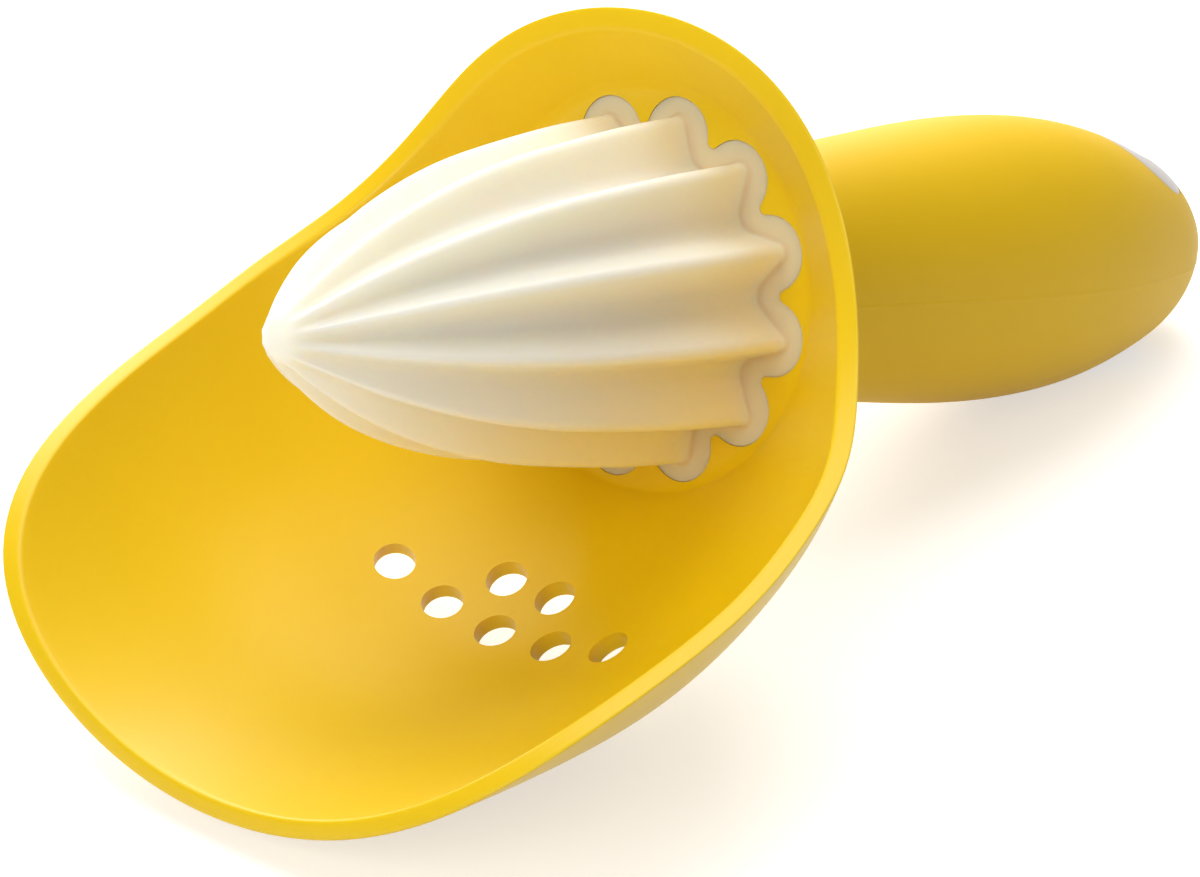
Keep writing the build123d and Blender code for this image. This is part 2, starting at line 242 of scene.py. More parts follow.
class GripSizes(bpy.types.PropertyGroup):
    """Sizes of the soft grip and its hanging eye."""
    grip_length: length("Grip length", "From the scoop's back to the tail", 0.1105)
    grip_radius: length("Grip radius", "Largest radius", 0.01765)
    neck_radius: length("Neck radius", "Radius at the scoop's back", 0.0130)
    droop: angle("Droop", "Slope of the grip's axis below the cone's", 1.6)
    dome_run: length("Dome run", "Length of the tail's rounding", 0.0040)
    dome_radius: length("Dome radius", "Fullness of the tail", 0.0058)
    seam_width: length("Seam width", "Width of the parting line", 0.00050)
    seam_height: length("Seam height", "Height of the parting line", 0.00005)
    eye_reach: length("Eye reach", "From the scoop's back to the hanging hole", 0.0924)
    eye_length: length("Eye length", "Length of the oval eye", 0.0170)
    eye_width: length("Eye width", "Width of the oval eye", 0.0200)
    eye_bore_radius: length("Eye bore radius", "Radius of the hanging hole", 0.0040)
    eye_lip: length("Eye lip", "Rounding of the hanging hole's edge", 0.0012)
    eye_edge: length("Eye edge", "Rounding of the eye's outer edge", 0.00025)
    eye_gap: length("Eye gap", "Gap between the eye and the grip", 0.00004)


class StudioSettings(bpy.types.PropertyGroup):
    """Colours, table, light levels and camera."""
    ivory: colour("Ivory", "Cone", (0.93, 0.875, 0.75))
    eye_white: colour("Eye white", "Hanging eye", (0.55, 0.50, 0.46))
    flange_tan: colour("Flange tan", "Thin flange with the scoop showing through", (0.84, 0.67, 0.42))
    scoop_yellow: colour("Scoop yellow", "Scoop", (0.82, 0.54, 0.0))
    grip_yellow: colour("Grip yellow", "Grip", (0.86, 0.53, 0.001))
    seal_grey: colour("Seal grey", "Seal between the cone and the scoop", (0.5, 0.5, 0.48))
    washer_steel: colour("Washer steel", "Washer under the screw's head", (0.55, 0.55, 0.54))
    screw_steel: colour("Screw steel", "Clamp screw", (0.58, 0.58, 0.57))
    table_pale: colour("Table", "Table that the tool lies on", (0.70, 0.70, 0.70))
    # Colour of the table's glow, seen only where the table is in shadow: a painted warm light in its
    # shadows
    shadow_glow_tint: colour("Table warmth", "Tint of the table's shadows", (1.0, 0.97, 0.92))
    table_glow: number("Table glow", "How far the table's shadows are lifted for the camera", 0.62)
    table_size: length("Table size", "Side of the table", 8.0)
    room_light: number("Room light", "Light of the white surroundings", 0.27)
    camera_near: length("Camera near", "Nearest distance that the camera shows", 0.01)
    camera_place: FloatVectorProperty(name="Camera place", description="Camera's place", size=3,
                                      default=(0.2962963, 0.2229527, 0.1852589), subtype="TRANSLATION",
                                      unit="LENGTH")
    camera_turn: FloatVectorProperty(name="Camera turn", description="Camera's turn", size=3,
                                     default=(radians(64.8578), radians(-0.3970), radians(129.8991)),
                                     subtype="EULER")


def group(name):
    """A property group of the scene."""
    return getattr(bpy.context.scene, "reamer_" + name)


def spread(low, high, shares):
    """Values between low and high at the given shares of the way."""
    return [low + (high - low) * share for share in shares]


def spline_through(places, values):
    """Natural cubic spline through points, as a function of the place."""
    places, values = np.array(places, float), np.array(values, float)
    steps = np.diff(places)
    slopes = np.diff(values) / steps
    count = len(places)
    system, right = np.eye(count), np.zeros(count)
    for i in range(1, count - 1):
        system[i, i - 1:i + 2] = steps[i - 1], 2 * (steps[i - 1] + steps[i]), steps[i]
        right[i] = 6 * (slopes[i] - slopes[i - 1])
    bends = np.linalg.solve(system, right)

    def value(place):
        i = int(np.clip(np.searchsorted(places, place) - 1, 0, count - 2))
        near, far = (places[i + 1] - place) / steps[i], (place - places[i]) / steps[i]
        bow = (near ** 3 - near) * bends[i] + (far ** 3 - far) * bends[i + 1]
        return near * values[i] + far * values[i + 1] + bow * steps[i] ** 2 / 6

    return value


def deselect():
    """Nothing is selected, and object mode is on."""
    if bpy.context.object and bpy.context.object.mode != "OBJECT":
        bpy.ops.object.mode_set(mode="OBJECT")
    bpy.ops.object.select_all(action="DESELECT")


def select_only(piece):
    """Only this piece is selected and active."""
    deselect()
    piece.select_set(True)
    bpy.context.view_layer.objects.active = piece


def draw_skin(name, rings, start, end):
    """Skin from a circle that is extruded ring by ring, each laid on its own points.

    start and end say what becomes of the first and last ring: pole, cap, or joined, for rings that
    lie on each other.
    """
    deselect()
    bpy.ops.mesh.primitive_circle_add(vertices=len(rings[0]), radius=FIRST_CIRCLE)
    skin = bpy.context.object
    skin.name = name
    bpy.ops.object.mode_set(mode="EDIT")
    bpy.ops.mesh.select_all(action="SELECT")
    mesh = bmesh.from_edit_mesh(skin.data)
    mesh.verts.ensure_lookup_table()
    order = list(range(len(mesh.verts)))
    for number, points in enumerate(rings):
        if number:
            bpy.ops.mesh.extrude_edges_move()
            mesh = bmesh.from_edit_mesh(skin.data)
            mesh.verts.ensure_lookup_table()
            mesh.verts.index_update()
            order = [next(edge.other_vert(mesh.verts[i]).index for edge in mesh.verts[i].link_edges
                          if edge.other_vert(mesh.verts[i]).select) for i in order]
        for i, point in zip(order, points):
            mesh.verts[i].co = point
    bmesh.update_edit_mesh(skin.data)
    close_ring(skin, order, end)
    close_ring(skin, range(len(rings[0])), start)
    bpy.ops.mesh.select_all(action="SELECT")
    bpy.ops.mesh.remove_doubles(threshold=SAME_POINT)
    bpy.ops.mesh.normals_make_consistent(inside=False)
    bpy.ops.object.mode_set(mode="OBJECT")
    return skin


def close_ring(skin, order, how):
    """Closes a ring of vertices to a pole or with a cap, or leaves a joined one as it is."""
    if how == "joined":
        return
    mesh = bmesh.from_edit_mesh(skin.data)
    mesh.verts.ensure_lookup_table()
    bpy.ops.mesh.select_all(action="DESELECT")
    for i in order:
        mesh.verts[i].select = True
    mesh.select_flush(True)
    bmesh.update_edit_mesh(skin.data)
    if how == "cap":
        bpy.ops.mesh.edge_face_add()
    else:
        bpy.ops.mesh.merge(type="CENTER")


def cut(piece, cutter):
    """Cuts a piece with another, which goes."""
    select_only(piece)
    modifier = piece.modifiers.new("Cut", "BOOLEAN")
    modifier.operation = "DIFFERENCE"
    modifier.solver = "EXACT"
    modifier.object = cutter
    bpy.ops.object.modifier_apply(modifier=modifier.name)
    bpy.data.objects.remove(cutter)


def lay_down(piece):
    """Lays a piece that was drawn in the tool's frame on the table."""
    rest = group("rest")
    place = Matrix.Translation((rest.flange_along, 0, rest.flange_height))
    piece.matrix_world = place @ Matrix.Rotation(-rest.nose_up, 4, "Y") @ piece.matrix_world
    select_only(piece)
    bpy.ops.object.transform_apply(location=True, rotation=True, scale=True)


def finish_piece(piece, node, material, sharp_from):
    """Shades a piece, gives it its material, and lets it stand for its node."""
    select_only(piece)
    bpy.ops.object.shade_smooth_by_angle(angle=sharp_from)
    piece.data.materials.clear()
    piece.data.materials.append(material)
    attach(piece, "root")
    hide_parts(node)
    deselect()


# Cone


def rounded_corner(before, corner, after, radius, points):
    """Points of the arc that rounds a corner of an outline."""
    before, corner, after = Vector(before), Vector(corner), Vector(after)
    to_before, to_after = (before - corner).normalized(), (after - corner).normalized()
    half = to_before.angle(to_after) / 2
    middle = corner + (to_before + to_after).normalized() * (radius / sin(half))
    start = corner + to_before * (radius / tan(half)) - middle
    end = corner + to_after * (radius / tan(half)) - middle
    swing = start.angle_signed(end)
    made = []
    for step in range(points):
        made.append(middle + Matrix.Rotation(-swing * step / (points - 1), 2) @ start)
    return made


def rib_outline(sizes):
    """Section of the ribs at the foot: a star with rounded crests and flutes, as points (y, z)."""
    half_pitch = pi / sizes.rib_count
    crest, flute = sizes.rib_radius + sizes.crest_round, sizes.rib_radius - sizes.flute_depth
    outline = []
    for turn in range(sizes.rib_count):
        middle = pi / 2 + sizes.rib_turn + 2 * half_pitch * turn
        corners = [Vector((reach * cos(middle + swing), reach * sin(middle + swing)))
                   for reach, swing in ((flute, -half_pitch), (crest, 0), (flute, half_pitch),
                                        (crest, 2 * half_pitch))]
        top = rounded_corner(*corners[:3], sizes.crest_round, CREST_POINTS)
        bottom = rounded_corner(*corners[1:], sizes.flute_round, FLUTE_POINTS)
        next_top = Matrix.Rotation(2 * half_pitch, 2) @ top[0]
        outline += top + [top[-1].lerp(bottom[0], share) for share in FLANK_SHARES]
        outline += bottom + [bottom[-1].lerp(next_top, share) for share in FLANK_SHARES]
    return outline


def drawn_out(outline, distance):
    """Outline moved outwards by a distance, square to itself."""
    made = []
    for i, point in enumerate(outline):
        along = outline[(i + 1) % len(outline)] - outline[i - 1]
        made.append(point + Vector((along.y, -along.x)).normalized() * distance)
    return made


def scallop_outline(sizes, margin):
    """Lobed outline of the flange with a margin round it, as points (y, z)."""
    half_pitch = pi / sizes.rib_count
    lobe_middle = sizes.lobe_reach - sizes.lobe_radius
    lobe_radius, notch_round = sizes.lobe_radius + margin, sizes.notch_round - margin
    rise = (sizes.lobe_radius + sizes.notch_round) ** 2 - (lobe_middle * sin(half_pitch)) ** 2
    notch_middle = lobe_middle * cos(half_pitch) + sqrt(rise)
    notch = Vector((notch_middle * cos(half_pitch), notch_middle * sin(half_pitch)))
    to_notch = atan2(notch.y, notch.x - lobe_middle)
    half = []
    for step in range(LOBE_POINTS):
        swing = to_notch * step / LOBE_POINTS
        half.append(Vector((lobe_middle + lobe_radius * cos(swing), lobe_radius * sin(swing))))
    for step in range(NOTCH_STEPS + 1):
        swing = pi + to_notch + (half_pitch - to_notch) * step / NOTCH_STEPS
        half.append(notch + Vector((notch_round * cos(swing), notch_round * sin(swing))))
    whole = [Vector((point.x, -point.y)) for point in reversed(half[1:])] + half
    outline = []
    for turn in range(sizes.rib_count):
        to_lobe = Matrix.Rotation(pi / 2 + sizes.rib_turn + 2 * half_pitch * turn, 2)
        outline += [to_lobe @ point for point in whole[:-1]]
    return outline


def ring_at(x, outline, scale=1.0):
    """Ring of points across the tool from an outline (y, z)."""
    return [Vector((x, point.x * scale, point.y * scale)) for point in outline]


def matched(outline, like):
    """Points of an outline at the same angles as another's, for rings that face each other."""
    angles = np.array([atan2(point.y, point.x) % (2 * pi) for point in outline])
    reaches = np.array([point.length for point in outline])
    order = np.argsort(angles)
    wrapped = np.concatenate((angles[order][-1:] - 2 * pi, angles[order], angles[order][:1] + 2 * pi))
    reach = np.concatenate((reaches[order][-1:], reaches[order], reaches[order][:1]))
    made = []
    for point in like:
        swing = atan2(point.y, point.x) % (2 * pi)
        found = np.interp(swing, wrapped, reach)
        made.append(Vector((found * cos(swing), found * sin(swing))))
    return made


def circle_like(outline, radius):
    """Circle with its points at the same angles as an outline's."""
    return [point.normalized() * radius for point in outline]


def rib_rings(sizes, outline):
    """Rings of the cone from near its tip along the ribs to the round at their foot."""
    start = -sizes.flange_thickness / 2
    radius_at = spline_through(spread(start, sizes.cone_length, CONE_STATION_SHARES),
                               spread(0, sizes.rib_radius, RIB_SHARES))
    last = start + (sizes.cone_length - start) * CONE_STATION_SHARES[-1]
    rings = []
    star = [point / sizes.rib_radius for point in outline]
    round_star = [point * NUB_SHARE for point in circle_like(star, 1)]

    def faded(x, reach):
        """Ring of the ribs, which die out towards the tip."""
        share = min(1.0, (sizes.cone_length - x) / sizes.tip_fade)
        ribbed = share ** 2 * (3 - 2 * share)
        return ring_at(x, [a.lerp(b, ribbed) for a, b in zip(round_star, star)], reach)

    for step in range(1, NOSE_RINGS + 1):
        share = step / (NOSE_RINGS + 1)
        x = sizes.cone_length + (last - sizes.cone_length) * share ** 2
        rings.append(faded(x, radius_at(last) * share))
    for step in range(RIB_RINGS + 1):
        x = last + (sizes.foot_round - last) * step / RIB_RINGS
        rings.append(faded(x, radius_at(x)))
    foot = [point * (radius_at(0) / sizes.rib_radius) for point in outline]
    for step in range(1, FOOT_RINGS + 1):
        swing = pi / 2 * step / FOOT_RINGS
        x = sizes.foot_round * (1 - sin(swing))
        rings.append(ring_at(x, drawn_out(foot, sizes.foot_round * (1 - cos(swing)))))
    return rings


def flange_rings(sizes, inner, edge):
    """Rings of the flange: out over its face, round its front edge and down its side."""
    return [ring_at(0, [a.lerp(b, 0.5) for a, b in zip(inner, edge)]),
            ring_at(0, drawn_out(edge, -sizes.edge_round)),
            ring_at(-sizes.edge_round, edge),
            ring_at(-sizes.flange_thickness, edge)]


def hollow_rings(sizes, edge):
    """Rings inside the cone: the socket, the cavity, and the screw boss with its hole."""
    socket_end = sizes.socket_depth - sizes.flange_thickness
    cavity = sizes.cavity_length - socket_end
    spots = [(-sizes.flange_thickness, sizes.socket_radius), (socket_end, sizes.socket_radius),
             (socket_end, sizes.cavity_shoulder)]
    for step in range(1, CAVITY_RINGS + 1):
        swing = pi / 2 * step / (CAVITY_RINGS + 1)
        reach = sizes.boss_radius + (sizes.cavity_shoulder - sizes.boss_radius) * cos(swing)
        spots.append((socket_end + cavity * sin(swing), reach))
    spots += [(socket_end + cavity, sizes.boss_radius), (socket_end, sizes.boss_radius),
              (socket_end, sizes.screw_hole_radius), (sizes.screw_hole_end, sizes.screw_hole_radius)]
    return [ring_at(x, circle_like(edge, radius)) for x, radius in spots]


class REAMER_OT_cone(bpy.types.Operator):
    """Draw the ivory cone with its flange"""
    bl_idname = "reamer.cone"
    bl_label = "Cone"

    def execute(self, context):
        sizes = group("cone")
        outline = rib_outline(sizes)
        inner = drawn_out(outline, sizes.foot_round)
        edge = matched(scallop_outline(sizes, 0), inner)
        rings = rib_rings(sizes, outline) + flange_rings(sizes, inner, edge) + hollow_rings(sizes, edge)
        cone = draw_skin("fluted_cone", rings, "pole", "pole")
        lay_down(cone)
        finish_piece(cone, "reamer_cone", ivory_material(), CONE_SHARP)
        return {"FINISHED"}


# Scoop


def rim_place(sizes):
    """Reach of the rim at a height."""
    reaches = spread(sizes.crown_reach, sizes.reach, RIM_REACH_SHARES)
    heights = spread(-sizes.lip_drop, sizes.crown_height, RIM_HEIGHT_SHARES)
    return spline_through(heights[::-1], reaches[::-1])


def bowl_curves(sizes):
    """Radius and rise of the scoop's inner face along the tool."""
    places = spread(0, sizes.reach, BOWL_STATION_SHARES)
    radius_at = spline_through(places, spread(sizes.dish_radius, sizes.lip_radius, BOWL_RADIUS_SHARES))
    rise_at = spline_through(places, spread(0, sizes.rise, BOWL_RISE_SHARES))
    return radius_at, rise_at


def wall_point(curves, x, swing, depth):
    """Point of the scoop's wall at an angle round the tool, at a depth outside its inner face."""
    radius_at, rise_at = curves
    slope = (radius_at(x + NUDGE) - radius_at(x - NUDGE)) / (2 * NUDGE)
    reach = radius_at(x) + depth / hypot(slope, 1)
    along = x - depth * slope / hypot(slope, 1)
    return Vector((along, reach * sin(swing), rise_at(x) + reach * cos(swing)))


def rim_crossing(curves, rim_at, swing, depth, reach):
    """Where the wall meets the rim's curve, at an angle and a depth: a place along the inner face."""
    low, high = 0.0, reach * RIM_SEARCH
    for _ in range(RIM_HALVINGS):
        x = (low + high) / 2
        point = wall_point(curves, x, swing, depth)
        if point.x > rim_at(point.z):
            high = x
        else:
            low = x
    return low


def soft_corner(before, corner, after, rounding, steps):
    """Points of the round that takes a corner off, between two ways out of it."""
    start = corner + (before - corner).normalized() * rounding
    end = corner + (after - corner).normalized() * rounding
    made = []
    for step in range(steps + 1):
        t = step / steps
        bow = start * (1 - t) ** 2 + corner * CORNER_PULL * 2 * t * (1 - t) + end * t * t
        made.append(bow / ((1 - t) ** 2 + CORNER_PULL * 2 * t * (1 - t) + t * t))
    return made


def wall_rings(sizes, swings, lean):
    """Rings of the scoop's wall: forward on its inner face, round the rim and back outside."""
    curves, rim_at = bowl_curves(sizes), rim_place(sizes)
    first = sizes.dish_round * (1 - cos(lean))
    columns = []
    for swing in swings:
        inner_end = rim_crossing(curves, rim_at, swing, 0, sizes.reach)
        outer_end = rim_crossing(curves, rim_at, swing, sizes.wall, sizes.reach)
        inner_rim = wall_point(curves, inner_end, swing, 0)
        outer_rim = wall_point(curves, outer_end, swing, sizes.wall)
        inner_before = wall_point(curves, inner_end - sizes.rim_round * RIM_WAY, swing, 0)
        outer_before = wall_point(curves, outer_end - sizes.rim_round * RIM_WAY, swing, sizes.wall)
        inner_run = inner_end - sizes.rim_round * RIM_START - first
        outer_run = outer_end - sizes.rim_round * RIM_START - first
        column = [wall_point(curves, first + inner_run * step / WALL_RINGS, swing, 0)
                  for step in range(WALL_RINGS)]
        column += soft_corner(inner_before, inner_rim, outer_rim, sizes.rim_round, RIM_STEPS)
        column += soft_corner(inner_rim, outer_rim, outer_before, sizes.rim_round, RIM_STEPS)
        column += [wall_point(curves, first + outer_run * (1 - step / WALL_RINGS), swing, sizes.wall)
                   for step in range(1, WALL_RINGS + 1)]
        columns.append(column)
    return [list(ring) for ring in zip(*columns)]


class REAMER_OT_scoop(bpy.types.Operator):
    """Draw the yellow scoop with its rim, recess and drain holes"""
    bl_idname = "reamer.scoop"
    bl_label = "Scoop"

    def execute(self, context):
        sizes, cone = group("scoop"), group("cone")
        radius_at, rise_at = bowl_curves(sizes)
        rings = scoop_rings(sizes, cone.socket_radius, radius_at)
        scoop = draw_skin("pip_catching_scoop", rings, "joined", "joined")
        recess = scallop_outline(cone, sizes.recess_clearance)
        places = (-cone.flange_thickness, cone.flange_thickness * RECESS_CUT)
        cut(scoop, draw_skin("recess", [ring_at(x, recess) for x in places], "cap", "cap"))
        for reach, steps in ((sizes.far_drain_reach, FAR_DRAINS), (sizes.near_drain_reach, NEAR_DRAINS)):
            for step in steps:
                cut(scoop, drain_pin(sizes, radius_at(reach), rise_at(reach), reach, step))
        lay_down(scoop)
        finish_piece(scoop, "pip_scoop", scoop_material(), SCOOP_SHARP)
        return {"FINISHED"}


def scoop_rings(sizes, hole, radius_at):
    """Rings of the scoop: out over the dish, round the wall and its rim, over the back and the hole."""
    swings = [2 * pi * i / SCOOP_POINTS for i in range(SCOOP_POINTS)]

    def disc(x, radius):
        """Round ring across the tool."""
        return [Vector((x, radius * sin(swing), radius * cos(swing))) for swing in swings]

    lean = atan2(NUDGE, radius_at(NUDGE) - radius_at(0))
    start = sizes.dish_radius - sizes.dish_round * tan(lean / 2)
    rings = [disc(0, hole + (start - hole) * share) for share in DISH_SHARES]
    for step in range(DISH_RINGS):
        turn = lean * step / DISH_RINGS
        rings.append(disc(sizes.dish_round * (1 - cos(turn)), start + sizes.dish_round * sin(turn)))
    rings += wall_rings(sizes, swings, lean)
    back = -sizes.back_depth
    rings += [disc(back * deep, sizes.back_radius + sizes.wall * wide) for deep, wide in BACK_EDGE]
    return rings + [disc(back, sizes.back_radius), disc(back, hole), disc(0, hole)]


def drain_pin(sizes, radius, rise, reach, step):
    """Pin that cuts one drain hole, at its row's lean and its own place round the tool."""
    turn = step * sizes.drain_step
    foot = Vector((reach, radius * sin(turn), rise - radius * cos(turn)))
    outwards = Vector((-sin(sizes.drain_lean), cos(sizes.drain_lean) * sin(turn),
                       -cos(sizes.drain_lean) * cos(turn)))
    deselect()
    bpy.ops.mesh.primitive_cylinder_add(vertices=DRAIN_POINTS, radius=sizes.drain_radius,
                                        depth=sizes.wall * DRAIN_CUT, location=foot,
                                        rotation=outwards.to_track_quat("Z", "Y").to_euler())
    return bpy.context.object


# Grip and eye


def grip_radius_at(sizes):
    """Radius of the grip as a function of the distance behind the scoop."""
    places = [0] + spread(0, sizes.grip_length, GRIP_STATION_SHARES)
    radii = [sizes.neck_radius] + spread(0, sizes.grip_radius, GRIP_RADIUS_SHARES)
    return spline_through(places, radii)


def grip_curve(sizes):
    """Side outline of the grip, as (distance behind the scoop, radius), from the neck to the tail."""
    radius_at = grip_radius_at(sizes)
    last = sizes.grip_length * GRIP_STATION_SHARES[-1]
    outline = [(last * step / GRIP_RINGS, radius_at(last * step / GRIP_RINGS))
               for step in range(GRIP_RINGS + 1)]
    nudge = last * SLOPE_SHARE
    way = Vector((nudge, radius_at(last) - radius_at(last - nudge))).normalized()
    heel = Vector((last, radius_at(last)))
    ends = (heel, heel + way * sizes.dome_run, Vector((sizes.grip_length, sizes.dome_radius)),
            Vector((sizes.grip_length, 0)))
    for step in range(1, TAIL_STEPS):
        t = step / TAIL_STEPS
        point = (ends[0] * (1 - t) ** 3 + ends[1] * 3 * t * (1 - t) ** 2
                 + ends[2] * 3 * t * t * (1 - t) + ends[3] * t ** 3)
        outline.append((point.x, point.y))
    return outline


def grip_frame(sizes):
    """Matrix from the grip's own frame, with X back along its axis and Z up, to the tool's frame."""
    back = Vector((-cos(sizes.droop), 0, -sin(sizes.droop)))
    up = Vector((-sin(sizes.droop), 0, cos(sizes.droop)))
    side = up.cross(back)
    turn = Matrix((back, side, up)).transposed().to_4x4()
    return Matrix.Translation((-group("scoop").back_depth, 0, 0)) @ turn


def grip_swings(sizes):
    """Angles round the grip, with close ones across each parting line, and their seam heights."""
    half = sizes.seam_width / 2 / sizes.grip_radius
    gap = pi - 2 * SEAM_REACH * half
    per_side = GRIP_POINTS // 2
    swings = []
    for side in (pi / 2, 3 * pi / 2):
        swings += [(side + half * share, height) for share, height in SEAM_PROFILE]
        swings += [(side + SEAM_REACH * half + gap * step / per_side, 0) for step in range(1, per_side)]
    return sorted((swing % (2 * pi), height) for swing, height in swings)


def grip_skin(sizes, matrix):
    """Closed skin of the grip's outer shape, with its parting line."""
    swings = grip_swings(sizes)
    rings = []
    for distance, radius in grip_curve(sizes):
        fade = min(1.0, radius / sizes.neck_radius)
        row = []
        for swing, height in swings:
            reach = radius + sizes.seam_height * height * fade
            row.append(matrix @ Vector((distance, reach * sin(swing), reach * cos(swing))))
        rings.append(row)
    return draw_skin("soft_grip", rings, "cap", "pole")


class REAMER_OT_grip(bpy.types.Operator):
    """Draw the soft grip and the eye in its tail"""
    bl_idname = "reamer.grip"
    bl_label = "Grip and eye"

    def execute(self, context):
        sizes = group("grip")
        matrix = grip_frame(sizes)
        grip = grip_skin(sizes, matrix)
        cut(grip, eye_column(sizes, matrix))
        lay_down(grip)
        finish_piece(grip, "grip_sleeve", grip_material(), GRIP_SHARP)
        eye = draw_skin("hanging_eye", eye_rings(sizes, matrix), "joined", "joined")
        lay_down(eye)
        finish_piece(eye, "hang_eye", eye_material(), GRIP_SHARP)
        return {"FINISHED"}


def eye_column(sizes, matrix):
    """Oval column that cuts the eye's place out of the grip's tail."""
    swings = [2 * pi * i / EYE_PLACE_POINTS for i in range(EYE_PLACE_POINTS)]
    long, wide = sizes.eye_length / 2 + sizes.eye_gap, sizes.eye_width / 2 + sizes.eye_gap
    rings = []
    for height in (-2 * sizes.grip_radius, 2 * sizes.grip_radius):
        rings.append([matrix @ Vector((sizes.eye_reach + long * cos(swing), wide * sin(swing), height))
                      for swing in swings])
    return draw_skin("eye_place", rings, "cap", "cap")


def eye_rings(sizes, matrix):
    """Rings of the eye: up the hole's wall, over the lip and the top, down its side and back below."""
    radius_at = grip_radius_at(sizes)
    columns = []
    for i in range(EYE_POINTS):
        swing = 2 * pi * i / EYE_POINTS
        side = Vector((sizes.eye_length / 2 * cos(swing), sizes.eye_width / 2 * sin(swing)))
        way = side.normalized()

        def surface(out):
            """Place over the grip's outer shape at a distance from the hole's middle."""
            spot = Vector((sizes.eye_reach, 0)) + way * out
            return Vector((spot.x, spot.y, sqrt(radius_at(spot.x) ** 2 - spot.y ** 2)))

        lip_out, edge_out = sizes.eye_bore_radius + sizes.eye_lip, side.length - sizes.eye_edge
        upper = []
        for step in range(LIP_STEPS + 1):
            turn = pi / 2 * step / LIP_STEPS
            inwards, down = sizes.eye_lip * cos(turn), sizes.eye_lip * (1 - sin(turn))
            upper.append(surface(lip_out) - Vector((way.x * inwards, way.y * inwards, down)))
        upper += [surface(lip_out + (edge_out - lip_out) * step / TOP_STEPS)
                  for step in range(1, TOP_STEPS + 1)]
        for step in range(1, EDGE_STEPS + 1):
            turn = pi / 2 * step / EDGE_STEPS
            outwards = sizes.eye_edge * sin(turn)
            upper.append(surface(edge_out + outwards) - Vector((0, 0, sizes.eye_edge * (1 - cos(turn)))))
        column = upper + [Vector((point.x, point.y, -point.z)) for point in reversed(upper)]
        columns.append([matrix @ point for point in column])
    return [list(ring) for ring in zip(*columns)] + [[column[0] for column in columns]]


# Materials


class Nodes:
    """Short way to add and join shader nodes."""

    def __init__(self, name):
        self.material = bpy.data.materials.new(name)
        self.material.use_nodes = True
        self.tree = self.material.node_tree
        self.surface = self.tree.nodes["Principled BSDF"]

    def add(self, kind, settings=None, **inputs):
        """Adds a node, sets its settings, and sets or joins its inputs by name."""
        node = self.tree.nodes.new(kind)
        for name, value in (settings or {}).items():
            setattr(node, name, value)
        for name, value in inputs.items():
            self.join(value, node.inputs[name.replace("_", " ")])
        return node

    def join(self, value, socket):
        """Joins a node's output to a socket, or sets the socket's value."""
        if isinstance(value, bpy.types.NodeSocket):
            self.tree.links.new(value, socket)
        else:
            socket.default_value = value


def own_coordinates(nodes):
    """A piece's Object coordinates."""
    return nodes.add("ShaderNodeTexCoord").outputs["Object"]


def tool_coordinates(nodes):
    """Object coordinates turned back into the tool's frame."""
    rest = group("rest")
    return nodes.add("ShaderNodeMapping", {"vector_type": "TEXTURE"}, Vector=own_coordinates(nodes),
                     Location=(rest.flange_along, 0, rest.flange_height),
                     Rotation=(0, -rest.nose_up, 0)).outputs["Vector"]


def mixed(nodes, share, low, high):
    """Mix of two colours."""
    mix = nodes.add("ShaderNodeMix", {"data_type": "RGBA"})
    nodes.join(share, mix.inputs["Factor"])
    for value, socket in ((low, mix.inputs[6]), (high, mix.inputs[7])):
        nodes.join(value if isinstance(value, bpy.types.NodeSocket) else (*value, 1), socket)
    return mix.outputs[2]


def moulded_bump(nodes, place, size, strength):
    """Faint unevenness of a moulded surface."""
    grain = nodes.add("ShaderNodeTexNoise", {"noise_dimensions": "3D"}, Vector=place, Scale=1 / size,
                      Detail=3.0)
    bump = nodes.add("ShaderNodeBump", None, Strength=strength, Distance=size / 10,
                     Height=grain.outputs["Fac"])
    nodes.join(bump.outputs["Normal"], nodes.surface.inputs["Normal"])


def shade_of(value, factor):
    """A colour made lighter or darker."""
    return tuple(min(1.0, part * factor) for part in value)


def material_of(name, place_of, base, look, further=None):
    """Material with faint clouds and grain, from a look.

    further adds what the look leaves out, and gives back the colour that it was handed or a new one.
    """
    scale, detail, strength, grain, bump, settings = look
    nodes = Nodes(name)
    place = place_of(nodes)
    cloud = nodes.add("ShaderNodeTexNoise", None, Vector=place, Scale=scale, Detail=detail).outputs["Fac"]
    body = mixed(nodes, cloud, shade_of(base, 1 - strength), shade_of(base, 1 + strength))
    if further:
        body = further(nodes, place, body)
    nodes.join(body, nodes.surface.inputs["Base Color"])
    for key, value in settings.items():
        nodes.join(value, nodes.surface.inputs[key])
    if grain:
        moulded_bump(nodes, place, grain, bump)
    return nodes.material


def tan_at_flange(nodes, place, body):
    """Turns a colour to tan where the flange is thin."""
    along = nodes.add("ShaderNodeSeparateXYZ", None, Vector=place).outputs["X"]
    thick = nodes.add("ShaderNodeMapRange", {"interpolation_type": "SMOOTHSTEP"}, Value=along)
    nodes.join(TAN_END, thick.inputs["From Min"])
    nodes.join(IVORY_START, thick.inputs["From Max"])
    return mixed(nodes, thick.outputs["Result"], group("studio").flange_tan, body)


def ivory_material():
    """Milky ivory plastic, tan where the flange is thin."""
    ivory = group("studio").ivory
    return material_of("ivory_moulding", tool_coordinates, ivory, IVORY_LOOK, tan_at_flange)


def eye_material():
    """White plastic of the hanging eye."""
    return material_of("white_eye", tool_coordinates, group("studio").eye_white, EYE_LOOK)


def scoop_material():
    """Glossy yellow plastic that light soaks into a little."""
    return material_of("yellow_moulding", tool_coordinates, group("studio").scoop_yellow, SCOOP_LOOK)


def grip_material():
    """Satin soft-touch yellow of the grip."""
    return material_of("soft_yellow_grip", tool_coordinates, group("studio").grip_yellow, GRIP_LOOK)


